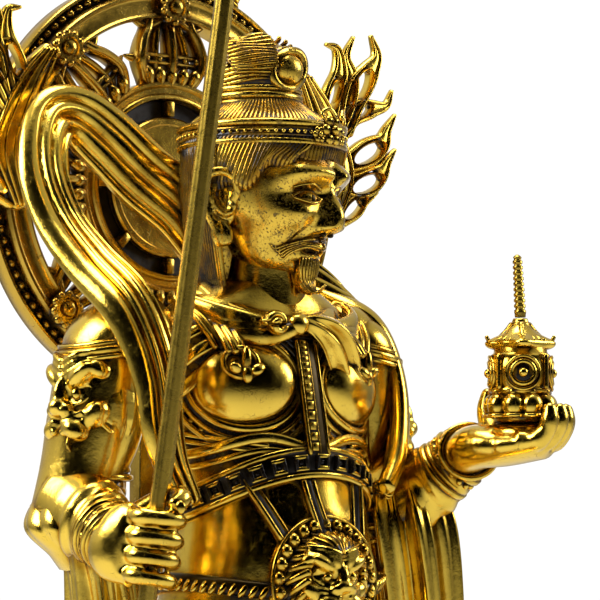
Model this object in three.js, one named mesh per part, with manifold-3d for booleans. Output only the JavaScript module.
// A carved and gilded wooden guardian deity: an armoured king who stands on a rock with a staff in
// his right hand and a small pagoda on his left palm, before a wheel halo with three sprays of flame.
// Units are millimetres. +Z is up, the figure faces -Y and its left hand is on the +X side.
// The origin is the centre of the plinth's underside.
import * as THREE from 'three';
import { mergeVertices } from 'three/addons/utils/BufferGeometryUtils.js';
import Module from 'manifold-3d';

const wasm = await Module();
wasm.setup();
const { Manifold, Mesh } = wasm;

// Driving dimensions
const head = 52; // chin to crown: the figure stands six heads high, without its topknot
const touch = 0.3; // gap between pieces that meet
const plinthHeight = 12;
const plinthHalfWidth = 84;
const plinthHalfDepth = 63;
const rockHeight = 18;
const wheelRadius = 58.4;
const wheelThickness = 8;
const wheelFront = 41; // how far behind the spine the wheel's face stands
const staffRadius = 2.4;
const flameThickness = 5;
const baseMiddle = 4; // the plinth and the rock stand a little behind the spine, to carry the wheel's post
const fineness = 2; // forms are laid out this much finer than their drawing, then melted down to facets

const facetCounts = {
  body: 2140, head: 1230, lion: 290, grip: 230, offer: 190, wheel: 640, flame: 210, trident: 170, pagoda: 500,
  rock: 200,
};

const plinthTop = plinthHeight;
const rockTop = plinthTop + touch + rockHeight;
const sole = rockTop + touch;
const heads = (count) => sole + count * head; // height of a body station above the plinth's underside
const level = {
  ankle: heads(0.27),
  calf: heads(0.85),
  knee: heads(1.35),
  hem: heads(1.48),
  hip: heads(3.15),
  lion: heads(3.47),
  waist: heads(3.8),
  belt: heads(4.08),
  chest: heads(4.43),
  shoulder: heads(4.7),
  neck: heads(4.92),
  face: heads(5.42),
  topknot: heads(6.02),
};
const wheelCentre = new THREE.Vector3(0, wheelFront, level.face + 5);
const headTurn = 0.38; // the face looks a little to the figure's own left, in radians
const headSpot = new THREE.Vector3(0, -3, level.face);
const grip = new THREE.Vector3(-56, -30, heads(3.64)); // where the right hand closes on the staff
const staffLean = new THREE.Vector3(0.06, -0.134, 1).normalize();
const palm = new THREE.Vector3(54, -42, heads(4.24)); // top of the left palm, under the pagoda
const pagodaRadius = 8.6;

const east = new THREE.Vector3(1, 0, 0);
const back = new THREE.Vector3(0, 1, 0);
const up = new THREE.Vector3(0, 0, 1);
const point = (x, y, z) => new THREE.Vector3(x, y, z);
const { sin, cos, PI, hypot, atan2, abs, max } = Math;
const fade = THREE.MathUtils.smoothstep;

// Builders that turn three.js geometry into closed solids

// Turns a closed geometry into a solid that can be joined and cut.
function solid(geometry) {
  geometry.deleteAttribute('normal');
  geometry.deleteAttribute('uv');
  const merged = mergeVertices(geometry, 1e-4);
  return new Manifold(
    new Mesh({
      numProp: 3,
      vertProperties: merged.attributes.position.array,
      triVerts: new Uint32Array(merged.index.array),
    }),
  );
}

const join = (...solids) => Manifold.union(solids.flat(Infinity));

// Melts the facets of a solid together until about count are left. Edges whose loss changes the form
// least go first: every corner remembers the planes of its first facets as one quadric form, and the
// form's value at a spot is the squared distance of the spot from those planes.
function melt(body, count) {
  const { vertProperties, triVerts } = body.simplify(0.03).getMesh();
  const spots = [];
  for (let i = 0; i < vertProperties.length; i += 3) {
    spots.push(new THREE.Vector3().fromArray(vertProperties, i));
  }
  const facets = [];
  for (let i = 0; i < triVerts.length; i += 3) facets.push([triVerts[i], triVerts[i + 1], triVerts[i + 2]]);
  const around = spots.map(() => new Set());
  facets.forEach((corners, f) => corners.forEach((v) => around[v].add(f)));
  const alive = facets.map(() => true);
  let left = facets.length;

  const slope = (corners, swapped = -1, other = null) => {
    const [a, b, c] = corners.map((v) => (v === swapped ? other : spots[v]));
    return b.clone().sub(a).cross(c.clone().sub(a));
  };
  const quadrics = spots.map(() => new Float64Array(10));
  for (const corners of facets) {
    const normal = slope(corners);
    const area = normal.length();
    if (area === 0) continue;
    normal.divideScalar(area);
    const { x, y, z } = normal;
    const w = -normal.dot(spots[corners[0]]);
    const terms = [x * x, x * y, x * z, x * w, y * y, y * z, y * w, z * z, z * w, w * w];
    for (const v of corners) terms.forEach((term, k) => (quadrics[v][k] += term * area));
  }
  const error = (q, { x, y, z }) =>
    q[0] * x * x + q[4] * y * y + q[7] * z * z + q[9] +
    2 * (q[1] * x * y + q[2] * x * z + q[3] * x + q[5] * y * z + q[6] * y + q[8] * z);
  const ring = (v) => new Set([...around[v]].flatMap((f) => facets[f]).filter((n) => n !== v));

  // What it costs to draw two corners together, and the best spot for them.
  const price = (a, b) => {
    const q = quadrics[a].map((term, k) => term + quadrics[b][k]);
    const choices = [spots[a], spots[b], spots[a].clone().lerp(spots[b], 0.5)];
    const costs = choices.map((spot) => error(q, spot));
    const cost = Math.min(...costs);
    const spot = choices[costs.indexOf(cost)];
    return { a, b, q, spot, cost: cost + 1e-6 * spots[a].distanceToSquared(spots[b]) };
  };
  const folds = (v, gone, spot) =>
    [...around[v]].some((f) => {
      if (facets[f].includes(gone)) return false;
      const before = slope(facets[f]);
      const after = slope(facets[f], v, spot);
      return before.dot(after) <= 0.25 * before.length() * after.length();
    });
  const collapse = ({ a, b, q, spot }) => {
    if ([...ring(a)].filter((v) => ring(b).has(v)).length !== 2) return false;
    if (folds(a, b, spot) || folds(b, a, spot)) return false;
    for (const f of around[b]) {
      if (facets[f].includes(a)) {
        alive[f] = false;
        left -= 1;
        facets[f].forEach((v) => v !== b && around[v].delete(f));
      } else {
        facets[f] = facets[f].map((v) => (v === b ? a : v));
        around[a].add(f);
      }
    }
    around[b] = new Set();
    quadrics[a] = q;
    spots[a] = spot.clone();
    return true;
  };

  for (let pass = 0; pass < 60 && left > count; pass++) {
    const edges = [];
    facets.forEach((corners, f) => {
      if (!alive[f]) return;
      corners.forEach((v, k) => {
        const next = corners[(k + 1) % 3];
        if (v < next) edges.push(price(v, next));
      });
    });
    edges.sort((first, second) => first.cost - second.cost);
    const goal = max(count, left * 0.8);
    const moved = new Set();
    for (const edge of edges) {
      if (left <= goal) break;
      if (moved.has(edge.a) || moved.has(edge.b)) continue;
      const touched = [...ring(edge.a), ...ring(edge.b)];
      if (collapse(edge)) touched.forEach((v) => moved.add(v));
    }
  }
  const kept = facets.filter((corners, f) => alive[f]).flat();
  const order = new Map([...new Set(kept)].map((v, i) => [v, i]));
  const vertices = new Float32Array([...order.keys()].flatMap((v) => spots[v].toArray()));
  return new Manifold(
    new Mesh({ numProp: 3, vertProperties: vertices, triVerts: new Uint32Array(kept.map((v) => order.get(v))) }),
  );
}

// Moves every vertex of a geometry to where place sends it.
function reshape(geometry, place) {
  const spots = geometry.attributes.position;
  const spot = new THREE.Vector3();
  for (let i = 0; i < spots.count; i++) {
    spot.fromBufferAttribute(spots, i);
    const moved = place(spot);
    spots.setXYZ(i, moved.x, moved.y, moved.z);
  }
  return geometry;
}

// A closed form along a line of stations [x, y, z, halfWidth, halfDepth]. The width lies along
// across, and the depth at right angles to it. Turn 0 is the depth side, and for upright forms
// that is the figure's front. carve(t, turn) swells or grooves the skin, in millimetres.
function limb(stations, { sides = 8, steps = 4, across = east, axis = null, carve = () => 0 } = {}) {
  const line = new THREE.CatmullRomCurve3(stations.map(([x, y, z]) => point(x, y, z)));
  const size = new THREE.CatmullRomCurve3(stations.map((station) => point(station[3], station[4], 0)));
  return solid(
    reshape(new THREE.CylinderGeometry(1, 1, 1, sides * fineness, steps * fineness), (spot) => {
      const t = THREE.MathUtils.clamp(spot.y + 0.5, 0, 1);
      const reach = hypot(spot.x, spot.z) > 0.5 ? 1 : 0;
      const turn = atan2(spot.x, spot.z);
      const tangent = line.getTangent(t);
      const along = axis ? axis.clone().multiplyScalar(Math.sign(axis.dot(tangent))) : tangent;
      const out = across.clone().cross(along).normalize();
      const side = along.clone().cross(out).normalize();
      const { x: width, y: depth } = size.getPoint(t);
      const swell = carve(t, turn);
      return line
        .getPoint(t)
        .addScaledVector(side, reach * (width + swell) * sin(turn))
        .addScaledVector(out, reach * (depth + swell) * cos(turn));
    }),
  );
}

// An ellipsoid with its poles up and down, turned by Euler angles about its centre.
function blob(centre, [rx, ry, rz], { turn = [0, 0, 0], sides = 6, rings = 4, carve = () => 1 } = {}) {
  const sphere = new THREE.SphereGeometry(1, sides * fineness, rings * fineness).rotateX(PI / 2);
  reshape(sphere, (spot) => spot.clone().multiplyScalar(carve(spot)).multiply(point(rx, ry, rz)));
  sphere.applyMatrix4(new THREE.Matrix4().makeRotationFromEuler(new THREE.Euler(...turn)));
  return solid(sphere.translate(centre.x, centre.y, centre.z));
}

// A closed hoop in the plane of right and rise, lifted off that plane by lift(angle).
function hoop(centre, rx, ry, tube, {
  right = east, rise = back, thick = tube, around = 16, sides = 4, lift = () => 0, carve = () => 1,
} = {}) {
  const normal = right.clone().cross(rise).normalize();
  return solid(
    reshape(new THREE.TorusGeometry(2, 1, sides * fineness, around * fineness), (spot) => {
      const angle = atan2(spot.y, spot.x);
      const outward = hypot(spot.x, spot.y) - 2;
      const grow = carve(angle);
      return centre
        .clone()
        .addScaledVector(right, (rx + tube * outward * grow) * cos(angle))
        .addScaledVector(rise, (ry + tube * outward * grow) * sin(angle))
        .addScaledVector(normal, thick * spot.z * grow + lift(angle));
    }),
  );
}

// A turned form on an upright axis, from [radius, height] pairs.
function turned(x, y, profile, sides, [scaleX, scaleY] = [1, 1], twist = 0) {
  const lathe = new THREE.LatheGeometry(profile.map(([r, z]) => new THREE.Vector2(r, z)), sides);
  return solid(lathe.rotateX(PI / 2).rotateZ(twist).scale(scaleX, scaleY, 1).translate(x, y, 0));
}

// A box from its lowest to its highest corner.
function block(low, high) {
  const size = high.clone().sub(low);
  const middle = low.clone().add(high).multiplyScalar(0.5);
  return solid(new THREE.BoxGeometry(size.x, size.y, size.z).translate(middle.x, middle.y, middle.z));
}

// Plinth and rock

function plinth() {
  const tiers = [
    [0, 0], [1, 0], [1, 4.2], [0.95, 5.2], [0.95, 7.8], [0.985, 8.8], [0.985, plinthTop], [0, plinthTop],
  ];
  const reach = 1 / cos(PI / 8);
  const profile = tiers.map(([share, z]) => [share * reach, z]);
  return turned(0, baseMiddle, profile, 8, [plinthHalfWidth, plinthHalfDepth], PI / 8);
}

// The rock's skin is split into crags by steps that run round it.
function rock() {
  const crags = 11;
  const low = plinthTop + touch;
  const mound = limb(
    [
      [0, baseMiddle, low, 77, 57], [0, baseMiddle, low + 5, 79, 59], [-1, baseMiddle, low + 11, 75, 56],
      [0, baseMiddle, low + 15, 77, 58], [0, baseMiddle, rockTop, 74, 56],
    ],
    {
      sides: 28,
      steps: 4,
      axis: up,
      carve: (t, turn) =>
        -3.2 * abs(sin(turn * crags * 0.5 + 1.3 * sin(t * 5))) * (0.5 + 0.5 * sin(3 * turn)),
    },
  );
  return melt(mound, facetCounts.rock);
}

// Legs, boots and skirts

function leg(side) {
  const splay = 0.42 * side;
  const foot = point(24 * side, -6, sole);
  const toward = point(sin(splay), -cos(splay), 0);
  const at = (reach, z, w, d) => [foot.x + toward.x * reach, foot.y + toward.y * reach, sole + z, w, d];
  const boot = limb(
    [at(-11, 4.5, 4, 4), at(-8, 6, 7, 7), at(4, 6.5, 8, 7.5), at(17, 4.6, 8.6, 6), at(26, 4, 4, 4)],
    { sides: 7, steps: 4, across: point(-toward.y, toward.x, 0).negate() },
  );
  const shaft = limb(
    [
      [foot.x, foot.y, sole + 2, 8.5, 9], [foot.x, foot.y - 1, level.ankle, 8, 8.5],
      [foot.x - 0.5 * side, foot.y, level.calf - 8, 11, 12],
      [foot.x - side, foot.y, level.calf + 6, 12, 12.5],
      [foot.x - 2 * side, foot.y, level.knee, 12, 12],
    ],
    { sides: 8, steps: 3, axis: up },
  );
  const cuff = hoop(point(foot.x, foot.y - 1, level.ankle + 3), 8.6, 9.2, 1.6, { around: 8, sides: 3 });
  const puff = limb(
    [
      [foot.x - side, foot.y, level.knee - 13, 11.5, 11.5], [foot.x - side, foot.y, level.knee - 6, 17, 16],
      [foot.x - 3 * side, foot.y + 1, level.knee + 8, 18, 17],
      [foot.x - 6 * side, foot.y + 3, level.knee + 34, 18, 18],
    ],
    { sides: 10, steps: 2, axis: up, carve: (t, turn) => 1.1 * cos(5 * turn) * (1 - t) },
  );
  return [boot, shaft, cuff, puff];
}

// The robe behind the legs reaches nearly to the rock; the armoured skirt over it stops at the knee.
function skirts() {
  const flutes = (count, depth, from) => (t, turn) => depth * fade(t, from, 1) * cos(count * turn);
  const robe = limb(
    [
      [0, 4, level.hip, 30, 22], [0, 8, level.knee + 40, 36, 25], [0, 11, level.knee, 38, 20],
      [0, 13, level.calf, 40, 17], [0, 15, level.ankle + 8, 43, 17],
    ],
    { sides: 20, steps: 3, axis: up, across: east.clone().negate(), carve: flutes(10, 2.6, 0.2) },
  );
  const coat = limb(
    [
      [0, -2, level.lion, 29, 24], [0, -1, level.hip - 8, 34, 28], [0, 0, level.hip - 40, 40, 32],
      [0, 0, level.hem + 14, 44, 34], [0, 0, level.hem, 47, 36],
    ],
    { sides: 24, steps: 3, axis: up, across: east.clone().negate(), carve: flutes(12, 2.2, 0.1) },
  );
  return [robe, coat];
}

// Armour plates that hang over the coat: one at each hip and one in front.
function tassets() {
  const plate = (angle, top, low, half, standOff) => {
    const out = point(sin(angle), -cos(angle), 0);
    const across = point(cos(angle), sin(angle), 0);
    const at = (reach, z, w, d) => [out.x * reach, out.y * reach, z, w, d];
    return limb(
      [
        at(standOff, low, half * 0.55, 2), at(standOff, low + 5, half * 0.95, 2.4),
        at(standOff - 4, (top + low) / 2, half, 2.6), at(standOff - 12, top, half * 0.8, 2.6),
      ],
      { sides: 6, steps: 3, across },
    );
  };
  const hips = [-1, 1].map((side) => plate(1.02 * side, level.hip + 8, level.hem + 18, 17, 43));
  return [...hips, plate(0, level.hip + 4, level.hem + 4, 13, 35)];
}

// Sash ends that fall from the waist between the boots.
function sashes() {
  return [-1, 1].map((side) =>
    limb(
      [
        [3 * side, -34, level.hip + 2, 4, 1.8], [5 * side, -39, level.hem + 10, 5, 1.8],
        [7 * side, -33, level.knee - 14, 5, 1.8], [9 * side, -27, level.calf - 14, 6.5, 1.8],
        [12 * side, -26, level.ankle + 3, 7.5, 1.4],
      ],
      { sides: 4, steps: 4 },
    ),
  );
}

// Trunk, armour and belt

// Trunk stations: [x, y, z, halfWidth, halfDepth]. The chest leans back and the belly comes forward.
const trunkStations = [
  [0, 1, level.hip - 12, 31, 24], [0, -1, level.hip + 4, 31, 25], [0, -3, level.lion + 2, 29, 25],
  [0, -4, level.waist - 4, 27, 23], [0, -3, level.belt - 6, 26, 21.5], [0, -1, level.belt + 6, 29, 20.5],
  [0, 1, level.chest + 2, 33, 19.5], [0, 2, level.shoulder - 2, 35, 18], [0, 3, level.shoulder + 7, 26, 15],
  [0, 2, level.neck + 2, 14, 12],
];

function trunk() {
  return [
    limb(trunkStations, { sides: 14, steps: 7, axis: up }),
    limb([[0, 1, level.neck - 6, 13, 13], [0, 0, level.neck + 4, 12, 12.5], [0, -1, level.face - 8, 12, 13]], {
      steps: 1, axis: up,
    }),
  ];
}

// A domed plate over one breast, with a double rim and the buckle that holds it to the shoulder.
function breastplate(side) {
  const centre = point(17.6 * side, -16, level.chest);
  const right = point(cos(0.5 * side), sin(0.5 * side), 0);
  const rise = point(0, 0.12, 1).normalize();
  const facing = right.clone().cross(rise).normalize();
  const at = (across, height, off) =>
    centre.clone().addScaledVector(right, across).addScaledVector(rise, height).addScaledVector(facing, off);
  const bow = (angle) => -3.4 * cos(angle) ** 2;
  const dome = blob(at(0, 0, -2.5), [13.4, 7.4, 11], { turn: [-0.12, 0, 0.5 * side], sides: 10, rings: 5 });
  const rim = hoop(at(0, 0, 0.2), 15.2, 13.2, 1.6, { right, rise, around: 12, lift: bow });
  const strap = limb(
    [
      [...at(-1 * side, 15, -2.5).toArray(), 2.8, 1.5], [...at(0, 9, 2.4).toArray(), 2.8, 1.6],
      [...at(1 * side, 3, 4.8).toArray(), 2.4, 1.4],
    ],
    { sides: 4, steps: 2, across: right },
  );
  const buckle = hoop(at(1 * side, 3, 4.6), 4.2, 3.6, 1.1, { right, rise, around: 6, sides: 3 });
  return [dome, rim, strap, buckle];
}

// The strap of studs up the breastbone, and the belt of framed studs under the breasts.
function belts() {
  const strip = limb(
    [[0, -18.5, level.shoulder, 2.6, 2], [0, -21, level.chest, 2.6, 2], [0, -24.8, level.belt, 2.6, 2]],
    { sides: 4, steps: 2 },
  );
  const droop = (angle) => -13 * ((1 + sin(angle)) / 2) ** 1.2;
  const belt = hoop(point(0, -2.2, level.belt + 1), 27.6, 22.6, 1.5, { thick: 3.6, around: 18, lift: droop });
  const frames = [];
  const count = 14;
  for (let i = 0; i < count; i++) {
    const angle = -PI / 2 + ((i + 0.5) / count) * 2 * PI;
    if (sin(angle) > 0.35) continue;
    const spot = point(29.2 * cos(angle), -2.2 + 24.2 * sin(angle), level.belt + 1 + droop(angle));
    frames.push(blob(spot, [2.4, 2.4, 2.2], { sides: 4, rings: 3 }));
  }
  const cords = [-1, 1].map((side) =>
    limb(
      [
        [27 * side, -12, level.belt - 2, 1.5, 1.3], [19 * side, -21.5, level.waist + 7, 1.5, 1.3],
        [9 * side, -28.5, level.lion + 13, 1.5, 1.3],
      ],
      { sides: 3, steps: 2, across: up },
    ),
  );
  return [strip, belt, frames, cords];
}

// A beast's face on the belly, ringed by the knobs of its mane.
function lionBuckle() {
  const centre = point(0, -26, level.lion - 1);
  const at = (x, z, y) => centre.clone().add(point(x, -y, z));
  const mane = [];
  const knobs = 9;
  for (let i = 0; i < knobs; i++) {
    const angle = -0.35 + (i / (knobs - 1)) * (PI + 0.7);
    mane.push(blob(at(14.5 * cos(angle), 14 * sin(angle), 0.6), [3.6, 3.2, 3.6], { sides: 4, rings: 3 }));
  }
  const mirror = (x, z, y, size, turn = 0) =>
    [-1, 1].map((s) => blob(at(x * s, z, y), size, { turn: [0, turn * s, 0], sides: 5, rings: 3 }));
  return [
    blob(at(0, 0, 0), [14, 7, 13.5], { sides: 10, rings: 5 }),
    blob(at(0, 7, 6), [7, 3.6, 4.2]),
    mirror(6.2, 4.4, 6.4, [4.6, 2.8, 2], 0.45),
    blob(at(0, -0.6, 8.6), [3.6, 3.4, 3]),
    mirror(4.8, -5.4, 6.8, [4.6, 3, 3], -0.3),
    blob(at(0, -10.4, 5), [5.6, 3.6, 2.4]),
    mane,
  ];
}

// Neck scarf: a pleated collar with its knot on the figure's right.
function collar() {
  const ring = hoop(point(0, 1, level.neck - 2), 17.5, 14.5, 5, {
    thick: 4.6, around: 24, sides: 5,
    lift: (angle) => 7 * sin(angle) * (sin(angle) > 0 ? 0.4 : 1.25),
    carve: (angle) => 1 + 0.12 * cos(12 * angle),
  });
  const knot = point(-7, -19.5, level.neck - 12);
  const tails = [-1, 1].map((side) =>
    limb(
      [
        [knot.x, knot.y, knot.z - 1, 2, 1.6], [knot.x + 5 * side, knot.y - 1, knot.z - 5, 2.6, 1.5],
        [knot.x + 8 * side, knot.y + 1, knot.z - 8, 1.2, 1],
      ],
      { sides: 4, steps: 2 },
    ),
  );
  return [ring, blob(knot, [4, 3.6, 3.8]), tails];
}

// Arms

// Sleeve stations from the shoulder to the elbow, for the figure's right (-1) or left (+1) arm.
const shoulderSpot = { '-1': point(-39, 1, level.shoulder + 1), 1: point(29.5, 3, level.shoulder - 1) };
const elbowSpot = { '-1': point(-57, 4, heads(3.83)), 1: point(41, 6, heads(3.68)) };
const wristSpot = { '-1': point(-59, -17, heads(3.66)), 1: point(53, -20, heads(4.09)) };

function beastGuard(side) {
  const middle = shoulderSpot[side].clone().lerp(elbowSpot[side], 0.5);
  const outward = point(side * 0.86, -0.5, 0.05).normalize();
  const across = up.clone().cross(outward).normalize();
  const at = (x, z, off) =>
    middle.clone().addScaledVector(across, x).addScaledVector(up, z).addScaledVector(outward, off);
  const yaw = atan2(outward.x, -outward.y);
  const put = (x, z, off, size) => blob(at(x, z, off), size, { turn: [0, 0, yaw], sides: 5, rings: 3 });
  return [
    put(0, 7.5, 12.5, [9.5, 3.4, 2.6]),
    put(-4.6, 4.6, 13.6, [2.6, 2.2, 1.8]),
    put(4.6, 4.6, 13.6, [2.6, 2.2, 1.8]),
    put(0, 0.6, 14.6, [4.4, 3.8, 3]),
    put(0, -3.4, 13.6, [8.6, 3.6, 2]),
    put(0, -9, 12, [7, 3.6, 2.6]),
  ];
}

function arm(side) {
  const shoulder = shoulderSpot[side];
  const elbow = elbowSpot[side];
  const wrist = wristSpot[side];
  const upper = limb(
    [
      [shoulder.x - 6 * side, shoulder.y, shoulder.z + 2, 11, 12],
      [shoulder.x + 3 * side, shoulder.y, shoulder.z - 6, 12, 13],
      [...shoulder.clone().lerp(elbow, 0.55).toArray(), 12, 13],
      [...shoulder.clone().lerp(elbow, 0.82).toArray(), 10.5, 11.5],
      [elbow.x, elbow.y, elbow.z - 3, 11, 11],
    ],
    { steps: 3 },
  );
  const cap = blob(shoulder.clone().add(point(2 * side, 0, -1)), [13.5, 14.5, 11.5], {
    turn: [0, 0.55 * side, 0], sides: 8,
  });
  const capRim = hoop(shoulder.clone().add(point(5.5 * side, 0, -7)), 14.4, 15.2, 1.5, {
    right: point(cos(0.55), 0, -0.52 * side), around: 10, sides: 3,
  });
  const puff = limb(
    [
      [elbow.x - side, elbow.y, elbow.z + 8, 10, 11], [elbow.x + side, elbow.y, elbow.z + 2, 13, 14],
      [elbow.x + side, elbow.y - 1, elbow.z - 6, 12.5, 13.5], [elbow.x - side, elbow.y - 3, elbow.z - 13, 8, 9],
    ],
    { sides: 12, steps: 3, axis: up, carve: (t, turn) => 0.8 * cos(6 * turn) * sin(PI * t) },
  );
  const reach = wrist.clone().sub(elbow);
  const fore = limb(
    [
      [...elbow.toArray(), 11, 12], [...elbow.clone().addScaledVector(reach, 0.5).toArray(), 9.6, 11],
      [...elbow.clone().addScaledVector(reach, 0.86).toArray(), 7.6, 8.4], [...wrist.toArray(), 6, 6.6],
    ],
    { sides: 7, steps: 3 },
  );
  const along = reach.clone().normalize();
  const cuffRight = east.clone().addScaledVector(along, -along.x).normalize();
  const cuffRise = along.clone().cross(cuffRight);
  const cuffs = [0.78, 0.96].map((share) => {
    const slimmer = 1.6 * (share - 0.7);
    return hoop(elbow.clone().addScaledVector(reach, share), 7.4 - slimmer, 7.6 - slimmer, 1, {
      right: cuffRight, rise: cuffRise, around: 7, sides: 3,
    });
  });
  return [upper, cap, capRim, puff, fore, cuffs, beastGuard(side)];
}

// The wide sleeve that hangs from the forearm in folds, with a wavy hem.
function hangingSleeve(side) {
  const elbow = elbowSpot[side];
  const wrist = wristSpot[side];
  const middle = elbow.clone().lerp(wrist, 0.35);
  const across = wrist.clone().sub(elbow).setZ(0).normalize();
  return limb(
    [
      [middle.x, middle.y, middle.z - 1, 12, 8], [middle.x + side, middle.y + 1, middle.z - 16, 15, 7],
      [middle.x + 2 * side, middle.y + 3, middle.z - 38, 16, 6.5],
      [middle.x + 4 * side, middle.y + 6, middle.z - 60, 17, 6],
      [middle.x + 6 * side, middle.y + 9, middle.z - 80, 16, 4],
    ],
    {
      sides: 14,
      steps: 4,
      axis: up,
      across: across.multiplyScalar(-side),
      carve: (t, turn) => 1.7 * fade(t, 0, 0.6) * cos(7 * turn),
    },
  );
}

// Staff directions seen from above: the knuckles face front and right, the back of the hand is outward.
const knuckleSide = point(-0.62, -0.78, 0);
const handSide = point(-0.78, 0.62, 0);

// Four fingers and a thumb closed round the staff.
function grippingHand() {
  const on = (rise, turn, reach) => {
    const spoke = handSide.clone().multiplyScalar(cos(turn)).addScaledVector(knuckleSide, sin(turn));
    return grip.clone().addScaledVector(staffLean, rise).addScaledVector(spoke, reach);
  };
  const fingers = [0, 1, 2, 3].map((i) => {
    const rise = 7.4 - 4.9 * i;
    const stations = [0.1, 0.9, 1.7, 2.5, 3.2].map((turn, k) => {
      const half = 2.6 - 0.12 * k;
      return [...on(rise - 0.3 * k, turn, k === 1 ? 6.2 : 5.4).toArray(), half, half];
    });
    return limb(stations, { sides: 5, steps: 4, across: up });
  });
  const thumb = limb(
    [
      [...on(7, -0.7, 7.5).toArray(), 3.4, 3.4], [...on(12, -1.9, 6).toArray(), 2.9, 2.9],
      [...on(11, -3, 5.6).toArray(), 2.6, 2.6], [...on(9, -3.7, 5.4).toArray(), 1.9, 1.9],
    ],
    { sides: 5, steps: 3, across: up },
  );
  const wrist = wristSpot[-1];
  const back = limb(
    [
      [...wrist.toArray(), 6, 6], [...on(-1, -0.35, 11).toArray(), 7.6, 6],
      [...on(0, 0, 6.6).toArray(), 10.4, 4.6], [...on(0, 0.35, 5).toArray(), 9.4, 3],
    ],
    { sides: 7, steps: 3, across: up },
  );
  return [fingers, thumb, back];
}

// An open hand, palm up, with its fingers reaching out under the pagoda and curling up.
function offeringHand() {
  const wrist = wristSpot[1];
  const toward = palm.clone().sub(wrist).setZ(0).normalize();
  const across = point(-toward.y, toward.x, 0);
  const at = (along, side, rise) =>
    palm.clone().addScaledVector(toward, along).addScaledVector(across, side).addScaledVector(up, rise);
  const hand = limb(
    [
      [...wrist.toArray(), 6, 6.6], [...at(-12, 0, -6).toArray(), 8, 6],
      [...at(-4, 0, -6).toArray(), 10, 5.2], [...at(6, 0, -5).toArray(), 10, 4.4],
    ],
    { steps: 3, across },
  );
  const fingers = [0, 1, 2, 3].map((i) => {
    const side = -7.5 + 5 * i;
    const long = 1 - 0.1 * abs(i - 1.5);
    return limb(
      [
        [...at(3, side, -4.6).toArray(), 2.7, 3.2], [...at(9 * long, side, -4.2).toArray(), 2.7, 3],
        [...at(13 * long, side, -1).toArray(), 2.5, 2.6], [...at(14.2 * long, side, 4).toArray(), 1.8, 1.8],
      ],
      { sides: 5, steps: 3, across },
    );
  });
  const thumb = limb(
    [
      [...at(-10, -5, -3).toArray(), 3.4, 3.4], [...at(-11.4, -8.6, 3).toArray(), 2.8, 2.8],
      [...at(-10.4, -9.6, 9.6).toArray(), 1.9, 1.9],
    ],
    { sides: 5, steps: 2, across },
  );
  return [hand, fingers, thumb];
}

// Head

// Head parts are placed in the head's own frame and then turned together to its look.
function headParts() {
  const z = (heightShare) => heightShare * head; // from the middle of the head
  const at = (x, y, height) => point(x, y, z(height));
  const pair = (x, y, height, size, [pitch, roll, yaw] = [0, 0, 0]) =>
    [-1, 1].map((s) => blob(at(x * s, y, height), size, { turn: [pitch, roll * s, yaw * s] }));
  const skull = blob(at(0, 1, 0.08), [19.5, 22, 22.5], { sides: 14, rings: 7 });
  const jaw = blob(at(0, -3.5, -0.2), [14.6, 15.5, 15.6], { sides: 12, rings: 6 });
  const nose = limb(
    [
      [0, -18.5, z(0.11), 1.9, 2], [0, -21.6, z(0.0), 2.4, 2.6], [0, -23, z(-0.09), 3.3, 3.1],
      [0, -19.5, z(-0.15), 2.6, 2],
    ],
    { sides: 5, steps: 3 },
  );
  const face = [
    pair(7.6, -16.6, 0.13, [6.4, 4, 2.3], [0, -0.2, 0.25]),
    pair(7.2, -16.4, 0.035, [4, 3.2, 2.2], [0, 0, 0.25]),
    pair(9.6, -12.4, -0.08, [5.6, 5, 5]),
    blob(at(0, -17.6, -0.22), [5.4, 3, 1.5]),
    blob(at(0, -17, -0.275), [4.4, 2.8, 1.5]),
    blob(at(0, -14.5, -0.38), [5.4, 4.6, 4.2]),
  ];
  const beard = [
    limb([[0, -16.5, z(-0.34), 4.6, 3.4], [0, -18, z(-0.43), 3.6, 3], [0, -17.6, z(-0.51), 1.4, 1.4]], {
      sides: 5, steps: 2,
    }),
    ...[-1, 1].map((s) =>
      limb(
        [[s, -19.5, z(-0.175), 1.5, 1.6], [6 * s, -17.8, z(-0.2), 1.7, 1.7], [10.4 * s, -13.8, z(-0.3), 1, 1.2]],
        { sides: 4, steps: 2, across: up },
      ),
    ),
  ];
  const ear = (s) => [
    hoop(at(19.2 * s, 2.6, 0.0), 4.2, 8.4, 1.7, {
      right: point(0.3 * s, 1, 0).normalize(), rise: up, around: 8, sides: 3,
    }),
    blob(at(19 * s, 1.8, -0.2), [1.9, 2.6, 4.6], { sides: 5 }),
    blob(at(18.4 * s, 2.4, 0), [2, 3.6, 7.6], { sides: 5 }),
  ];
  return [skull, jaw, nose, face, beard, ear(-1), ear(1)];
}

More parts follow.
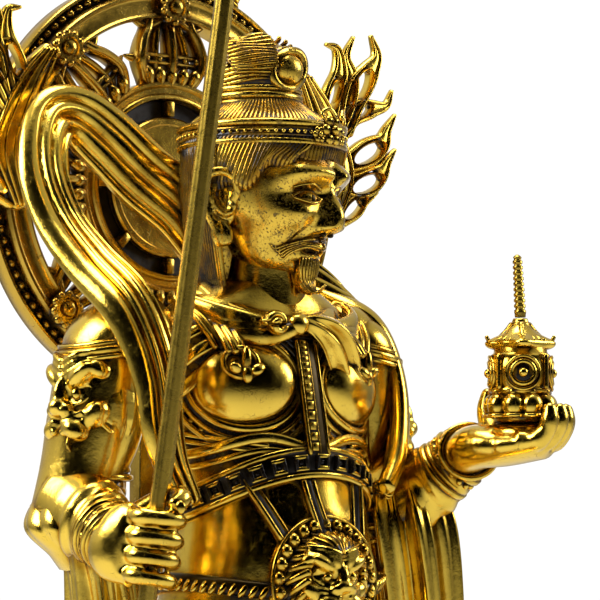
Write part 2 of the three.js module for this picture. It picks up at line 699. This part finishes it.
// Combed hair: a low dome inside the diadem, a tied topknot with its jewel, and hair down the nape.
function hairParts() {
  const z = (height) => height * head;
  const combed = (count, depth) => (t, turn) => depth * cos(count * turn);
  const fringe = limb([[0, 1.5, z(0.1), 20.6, 22.6], [0, 1.5, z(0.2), 21.2, 23.2], [0, 1.5, z(0.31), 20, 21.6]], {
    sides: 20,
    steps: 2,
    axis: up,
    carve: (t, turn) => 0.5 * cos(10 * turn) - (cos(turn) > 0.55 ? 2.4 * (1 - t) : 0),
  });
  const dome = limb(
    [[0, 1.5, z(0.28), 20, 21.6], [0, 2, z(0.36), 18.6, 20], [0, 3, z(0.43), 14.4, 15.4], [0, 3.5, z(0.5), 11, 11.4]],
    { sides: 20, steps: 2, axis: up, carve: combed(10, 0.5) },
  );
  const diadem = [-1.4, 1.4].map((rise) => hoop(point(0, 1.5, z(0.3) + rise), 20.4, 22, 1.5, { around: 16, sides: 3 }));
  const blossom = [0, 1, 2, 3, 4].map((i) => {
    const angle = (i / 5) * 2 * PI;
    return blob(point(3.4 * cos(angle), -21.6, z(0.31) + 3.2 * sin(angle)), [2.2, 1.8, 2.2], { sides: 4, rings: 3 });
  });
  const ties = hoop(point(0, 3.5, z(0.5)), 11, 11.4, 1.4, { thick: 2, around: 12 });
  const bun = blob(point(0, 4, z(0.645)), [12.4, 13, 10], {
    sides: 14, rings: 7, carve: (spot) => 1 + 0.03 * cos(7 * atan2(spot.y, spot.x)),
  });
  const jewel = [
    blob(point(0, -8.6, z(0.65)), [4.2, 2.6, 5.6]),
    hoop(point(0, -7.8, z(0.65)), 4.6, 6.2, 1.1, { right: east, rise: up, around: 8, sides: 3 }),
  ];
  const nape = limb(
    [
      [0, 8, z(0.2), 17.6, 14], [0, 11, z(-0.15), 16.8, 11], [0, 13, z(-0.46), 15.4, 8.6],
      [0, 13, z(-0.72), 12, 5],
    ],
    { sides: 14, steps: 3, axis: up, carve: combed(7, 0.6) },
  );
  return [fringe, dome, diadem, blossom, ties, bun, jewel, nape];
}

function headAndHair() {
  return join(headParts(), hairParts())
    .rotate([0, 0, THREE.MathUtils.radToDeg(headTurn)])
    .translate([headSpot.x, headSpot.y, headSpot.z]);
}

// Celestial scarf

// The scarf is a pleated band. Its right end flies up beside the halo, turns over and falls in front
// of the right arm; its left end wraps the left shoulder. A station is its middle, half its width and
// half its thickness.
const scarfFlying = [
  [-4, 15, level.neck + 7, 7, 2.4], [-13, 18, level.neck + 22, 9.4, 2.2], [-23, 22, level.neck + 31, 9.6, 2.2],
  [-32.5, 25, level.neck + 40, 9.2, 2.2], [-41, 26, level.neck + 46.5, 8.4, 2.2], [-49, 25, level.neck + 46.5, 7.4, 2.2],
  [-54.5, 22, level.neck + 40, 6.6, 2.2], [-57.5, 18, level.neck + 29, 6.2, 2.2], [-56, 13, level.neck + 16, 6.2, 2.2],
  [-51, 6, level.neck + 4.5, 6.6, 2.3], [-46.5, -4, level.neck - 5, 6.8, 2.3], [-45.8, -12, level.neck - 15, 6.4, 2.3],
  [-46, -17.5, level.neck - 26, 5.8, 2.3], [-47, -20.5, level.neck - 37, 5.2, 2.3], [-45, -22, level.neck - 47, 4.4, 2.2],
  [-40.5, -23, level.neck - 56, 3.4, 2],
];
const scarfWrapping = [
  [-4, 15, level.neck + 7, 7, 2.4], [8, 17, level.neck + 9, 7, 2.3], [20, 15, level.neck + 7, 7.4, 2.3],
  [29, 8, level.neck + 1, 7.6, 2.3], [37, 0, level.neck - 8, 7.4, 2.3], [40, -5, level.neck - 21, 6.8, 2.3],
  [39, -9, level.neck - 34, 6, 2.3], [34, -14, level.neck - 45, 4.8, 2.2], [27, -18, level.neck - 53, 3.6, 2],
];

// Flattens a round section to a band with blunt edges.
const bluff = (share) => Math.sign(share) * Math.sqrt(abs(share));

// One end of the scarf. grow makes the same form a little larger, to cut its seat in the figure.
function scarfEnd(stations, facing, steps, grow) {
  const line = new THREE.CatmullRomCurve3(stations.map(([x, y, z]) => point(x, y, z)));
  const size = new THREE.CatmullRomCurve3(stations.map((station) => point(station[3], station[4], 0)));
  return solid(
    reshape(new THREE.CylinderGeometry(1, 1, 1, 12, steps), (spot) => {
      const t = THREE.MathUtils.clamp(spot.y + 0.5, 0, 1);
      const reach = hypot(spot.x, spot.z) > 0.5 ? 1 : 0;
      const turn = atan2(spot.x, spot.z);
      const along = line.getTangent(t);
      const out = facing(t).addScaledVector(along, -facing(t).dot(along)).normalize();
      const side = along.clone().cross(out).normalize();
      const { x: width, y: thickness } = size.getPoint(t);
      const ripple = 0.9 * cos(6 * turn);
      return line
        .getPoint(t)
        .addScaledVector(side, reach * (width + grow) * sin(turn))
        .addScaledVector(out, reach * ((thickness + grow) * bluff(cos(turn)) + ripple));
    }),
  );
}

function scarf(grow = 0) {
  const flyingFace = (t) => point(-0.2 - 0.5 * fade(t, 0.55, 0.75), -1, 0.1);
  const wrappingFace = (t) => point(0.1 + 1.2 * fade(t, 0.25, 0.6), -1 + 0.5 * fade(t, 0.3, 0.6), 0.5 * (1 - t));
  return join(scarfEnd(scarfFlying, flyingFace, 21, grow), scarfEnd(scarfWrapping, wrappingFace, 12, grow));
}

// Wheel halo

// A point in the plane of the wheel, angle measured from the figure's left, off = towards the viewer.
const onWheel = (radius, angle, off = 0) =>
  wheelCentre.clone().add(point(radius * cos(angle), -off, radius * sin(angle)));

// A turned form on the wheel's own axis, from [radius, height above the wheel's back] pairs.
function wheelTurning(profile, around) {
  const lathe = new THREE.LatheGeometry(profile.map(([r, h]) => new THREE.Vector2(r, h)), around);
  lathe.translate(0, -wheelThickness, 0).rotateX(PI);
  return solid(lathe.translate(wheelCentre.x, wheelCentre.y, wheelCentre.z));
}

// One spoke is half a thunderbolt: three ribs bow out from a cusped foot on the hub to a waist band,
// and draw in again to the rim.
function spoke(angle) {
  const across = point(-sin(angle), 0, cos(angle));
  const at = (reach, side, off) => onWheel(reach, angle, off).addScaledVector(across, side);
  const rib = (side) =>
    limb(
      [
        [...at(28.6, 7.4 * side, -4).toArray(), 2.6, 3], [...at(33, 9.6 * side, -3.4).toArray(), 1.9, 3.4],
        [...at(36, 10.4 * side, -3.4).toArray(), 2, 3.6], [...at(42, 8.6 * side, -3.6).toArray(), 1.8, 3.2],
        [...at(47.6, 6.4 * side, -4).toArray(), 1.8, 3],
      ],
      { sides: 4, steps: 3, across },
    );
  const waist = limb(
    [
      [...at(35.4, -12, -3.6).toArray(), 0.8, 2], [...at(35.4, 0, -3).toArray(), 1.5, 3.4],
      [...at(35.4, 12, -3.6).toArray(), 0.8, 2],
    ],
    { sides: 4, steps: 2, across: point(cos(angle), 0, sin(angle)) },
  );
  return [rib(-1), rib(0), rib(1), waist];
}

function wheel() {
  const spokes = 8;
  const inner = wheelRadius - 11.6;
  const step = wheelRadius - 5.2;
  const hubRadius = 29.6;
  const rim = [
    [inner, 0], [wheelRadius, 0], [wheelRadius, 5.6], [step + 0.4, 5.6], [step, wheelThickness],
    [inner, wheelThickness], [inner, 0],
  ];
  const hub = [
    [0, 0], [hubRadius, 0], [hubRadius, wheelThickness], [24.4, wheelThickness], [24, 4.4], [19.8, 4.4],
    [19.4, 7], [0, 7],
  ];
  const parts = [wheelTurning(hub, 24)];
  for (let i = 0; i < spokes; i++) {
    const angle = PI / 2 + (i / spokes) * 2 * PI;
    const peg = onWheel(22, angle + 0.3, -2.3);
    parts.push(spoke(angle), block(peg.clone().sub(point(1.4, 1.8, 2.4)), peg.clone().add(point(1.4, 1.8, 2.4))));
    // The sprays of flame cover the rim at the sides, so it has no scroll boss there.
    if (abs(sin(angle)) > 0.1) parts.push(blob(onWheel(wheelRadius - 8.4, angle, 0.4), [4.4, 3, 4.4]));
  }
  return join(wheelTurning(rim, 36), melt(join(parts), facetCounts.wheel));
}

// Flames

// One tongue of flame: an S-shaped blade on a foot, bent to one side and curling at its tip.
function tongue(root, tip, bend, width) {
  const line = new THREE.CatmullRomCurve3([
    point(root[0], 0, root[1]),
    point(root[0] + (tip[0] - root[0]) * 0.36 + bend, 0, root[1] + (tip[1] - root[1]) * 0.34),
    point(root[0] + (tip[0] - root[0]) * 0.7 - bend * 0.5, 0, root[1] + (tip[1] - root[1]) * 0.7),
    point(tip[0], 0, tip[1]),
  ]);
  const stations = [0, 0.22, 0.5, 0.78, 1].map((t, k) => {
    const spot = line.getPoint(t);
    const thick = (flameThickness / 2) * [1, 1, 0.9, 0.7, 0.3][k];
    return [spot.x, 0, spot.z, width * [0.8, 1, 0.8, 0.42, 0.1][k], thick];
  });
  const across = back.clone().cross(point(tip[0] - root[0], 0, tip[1] - root[1])).normalize();
  return limb(stations, { sides: 4, steps: 5, across });
}

// A spray of flame, drawn flat for the figure's left side as [x, z] from the wheel's middle.
const sprayTongues = [
  // root, tip, bend, half width
  [[44, 20], [46, 45], -3, 2.6], [[46, 20], [55, 45], 3, 2.6], [[48, 18], [64, 48], -3.4, 3.2],
  [[50, 14], [62, 30], 2.6, 2.8], [[53, 8], [72, 31], -3.4, 3.2], [[55, 4], [73, 25], 2.6, 2.6],
  [[55, -1], [73.5, 14.5], -4, 3], [[52, -8], [66, 1], -3, 2.8],
];

function spray() {
  const foot = limb(
    [[43, 0, 29.5, 2.2, 2.5], [48, 0, 22, 4.2, 2.5], [53, 0, 12, 5.2, 2.5], [56, 0, 1, 4.8, 2.5], [52, 0, -13, 2.4, 2.2]],
    { sides: 6, steps: 4 },
  );
  return join(foot, sprayTongues.map((drawn) => tongue(...drawn)));
}

// The sprays at the sides lie on the face of the rim; the one at the top stands on its edge.
function flame(atTop, mirrored) {
  const drawn = spray();
  const posed = atTop ? drawn.rotate([0, -76, 0]) : mirrored ? drawn.mirror([1, 0, 0]) : drawn;
  const off = atTop ? -wheelThickness / 2 - 1.1 : touch + flameThickness / 2;
  const rise = atTop ? 7.5 : 0;
  const placed = melt(posed.translate([wheelCentre.x, wheelCentre.y - off, wheelCentre.z + rise]), facetCounts.flame);
  const reach = wheelRadius + touch;
  const edge = [[0, -touch], [reach, -touch], [reach, wheelThickness + touch], [0, wheelThickness + touch]];
  return placed.subtract(wheelTurning(edge, 36));
}

// Post behind the wheel, standing on the rock.
function post() {
  const near = wheelFront + wheelThickness + touch;
  const bar = block(point(-4.5, near, sole), point(4.5, near + 6, wheelCentre.z + 12));
  const foot = block(point(-9, near - 6, sole), point(9, near + 6, sole + 6));
  return join(bar, foot);
}

// Staff and its head

const staffAt = (z) => grip.clone().addScaledVector(staffLean, (z - grip.z) / staffLean.z);
const staffFoot = sole;
const staffHeadZ = level.topknot + 22;

function staffRod(radius, low, high) {
  const from = staffAt(low);
  const to = staffAt(high);
  return limb([[...from.toArray(), radius, radius], [...to.toArray(), radius, radius]], { sides: 10, steps: 1, axis: up });
}

function staffHead() {
  const base = staffAt(staffHeadZ + touch);
  const at = (side, rise) => base.clone().add(point(side, 0, 0)).addScaledVector(staffLean, rise);
  const socket = limb(
    [
      [...at(0, 0).toArray(), 2.6, 2.6], [...at(0, 2).toArray(), 4.4, 4.4], [...at(0, 4).toArray(), 3, 3],
      [...at(0, 6.5).toArray(), 4.8, 4.4], [...at(0, 9.5).toArray(), 2.4, 2.4],
    ],
    { steps: 6, axis: up },
  );
  const blade = limb(
    [
      [...at(0, 8).toArray(), 2, 1.8], [...at(0, 16).toArray(), 2.6, 1.6], [...at(0, 24).toArray(), 3.6, 1.4],
      [...at(0, 38).toArray(), 0.5, 0.5],
    ],
    { sides: 4, steps: 4, axis: up },
  );
  const prongs = [-1, 1].map((side) =>
    limb(
      [
        [...at(1 * side, 8).toArray(), 1.6, 1.5], [...at(8 * side, 11).toArray(), 1.9, 1.6],
        [...at(10.5 * side, 18).toArray(), 1.8, 1.5], [...at(7.6 * side, 28).toArray(), 0.5, 0.5],
      ],
      { sides: 4, steps: 5, across: back },
    ),
  );
  return melt(join(socket, blade, prongs), facetCounts.trident);
}

// Pagoda

const pagodaFloor = palm.z + touch;

function pagodaBody() {
  const { x, y } = palm;
  const gems = [];
  const gemCount = 8;
  for (let i = 0; i < gemCount; i++) {
    const angle = (i / gemCount) * 2 * PI;
    gems.push(blob(point(x + 7.4 * cos(angle), y + 7.4 * sin(angle), pagodaFloor + 4.8), [3.3, 3.3, 3.4]));
  }
  const tower = turned(
    x, y,
    [
      [0, 0], [6, 0], [8.4, 3], [7.4, 7.2], [8.4, 11], [8.4, 16], [6.6, 20.4], [0, 20.4],
    ].map(([r, z]) => [r, z + pagodaFloor]),
    12,
  );
  const windows = [0, 1, 2, 3].map((i) => {
    const angle = -2.22 + (i * PI) / 2;
    const out = point(cos(angle), sin(angle), 0);
    const spot = point(x, y, pagodaFloor + 14).addScaledVector(out, 8.1);
    return hoop(spot, 3.4, 3.4, 1, { right: up.clone().cross(out), rise: up, around: 8, sides: 3 });
  });
  const eaveZ = pagodaFloor + 21;
  const roof = limb(
    [
      [x, y, eaveZ - 1.4, 6.4, 6.4], [x, y, eaveZ + 0.6, 8.2, 8.2], [x, y, eaveZ + 2.4, 6, 6],
      [x, y, eaveZ + 4.6, 3, 3], [x, y, eaveZ + 6.6, 1.9, 1.9],
    ],
    {
      sides: 8,
      steps: 4,
      axis: up,
      across: point(0.6, 0.8, 0),
      carve: (t, turn) => (t < 0.6 ? 1.9 * abs(cos(2 * turn)) ** 3 : 0.2),
    },
  );
  return melt(join(gems, tower, windows, roof), facetCounts.pagoda);
}

function pagodaSpire() {
  const low = pagodaFloor + 27.6 + touch;
  const rings = 5;
  const profile = [[0, 0], [1.5, 0]];
  for (let i = 0; i < rings; i++) {
    const z = 1.6 + i * 2.8;
    profile.push([1.7 - 0.08 * i, z], [1 - 0.08 * i, z + 1.4]);
  }
  profile.push([1.2, 16.2], [0.5, 17.4], [0, 17.6]);
  return turned(palm.x, palm.y, profile.map(([r, z]) => [r, z + low]), 6);
}

// Whole figure, with seats cut for the staff, the pagoda and the scarf

function figure() {
  const body = join(
    leg(-1), leg(1), skirts(), tassets(), sashes(), trunk(), breastplate(-1), breastplate(1), belts(), collar(),
    arm(-1), arm(1), hangingSleeve(-1), hangingSleeve(1),
  );
  const whole = join(
    melt(body, facetCounts.body), melt(headAndHair(), facetCounts.head), melt(join(lionBuckle()), facetCounts.lion),
    melt(join(grippingHand()), facetCounts.grip), melt(join(offeringHand()), facetCounts.offer),
  );
  const below = block(point(-200, -200, sole - 40), point(200, 200, sole));
  const pagodaSeat = block(palm.clone().add(point(-9, -9, 0)), palm.clone().add(point(9, 9, 40)));
  const staffHole = staffRod(staffRadius + touch, sole - 10, staffHeadZ + 10);
  return whole.subtract(join(below, pagodaSeat, staffHole)).subtract(scarf(touch));
}

// Materials

const finish = (color, roughness) => new THREE.MeshStandardMaterial({ color, roughness, metalness: 1 });
const gold = finish(0xd9a521, 0.22);
const wheelGold = finish(0xa97c14, 0.3);
const rodGold = finish(0x8a6a1c, 0.35);

// Corners of a solid that fell on one spot are each drawn a little towards their own neighbours.
function spread({ vertProperties, triVerts }, apart = 0.02) {
  const spots = [];
  for (let i = 0; i < vertProperties.length; i += 3) {
    spots.push(new THREE.Vector3().fromArray(vertProperties, i));
  }
  const near = spots.map(() => new Set());
  for (let i = 0; i < triVerts.length; i++) {
    const next = i % 3 === 2 ? i - 2 : i + 1;
    near[triVerts[i]].add(triVerts[next]);
    near[triVerts[next]].add(triVerts[i]);
  }
  const drawn = new Map();
  const order = spots.map((spot, v) => v).sort((v, w) => spots[v].x - spots[w].x);
  order.forEach((v, rank) => {
    for (const other of order.slice(rank + 1)) {
      if (spots[other].x - spots[v].x >= apart) break;
      if (spots[other].distanceTo(spots[v]) < apart) [v, other].forEach((w) => drawn.set(w, near[w]));
    }
  });
  for (const [v, neighbours] of drawn) {
    const middle = new THREE.Vector3();
    neighbours.forEach((w) => middle.addScaledVector(spots[w], 1 / neighbours.size));
    const pull = middle.sub(spots[v]);
    spots[v].addScaledVector(pull.normalize(), 4 * apart);
  }
  return { spots, triVerts };
}

// One named mesh from a solid. Slivers that the joins leave are dropped.
function piece(name, body, material) {
  const clean = body.simplify(0.06);
  const [whole] = clean.decompose().sort((a, b) => b.volume() - a.volume());
  const { spots, triVerts } = spread(whole.getMesh());
  const geometry = new THREE.BufferGeometry().setFromPoints(spots);
  geometry.setIndex(new THREE.BufferAttribute(new Uint32Array(triVerts), 1));
  geometry.computeVertexNormals();
  const mesh = new THREE.Mesh(geometry, material);
  mesh.name = name;
  return mesh;
}

const statue = new THREE.Group();
statue.add(
  piece('plinth', plinth(), gold),
  piece('rock_base', rock(), gold),
  piece('figure', figure(), gold),
  piece('celestial_scarf', scarf(), gold),
  piece('staff_rod', staffRod(staffRadius, staffFoot, staffHeadZ), rodGold),
  piece('staff_trident', staffHead(), gold),
  piece('pagoda', pagodaBody(), gold),
  piece('pagoda_spire', pagodaSpire(), rodGold),
  piece('halo_wheel', wheel(), wheelGold),
  piece('halo_flame_left', flame(false, false), gold),
  piece('halo_flame_right', flame(false, true), gold),
  piece('halo_flame_top', flame(true, false), gold),
  piece('halo_post', post(), wheelGold),
);

export default statue;
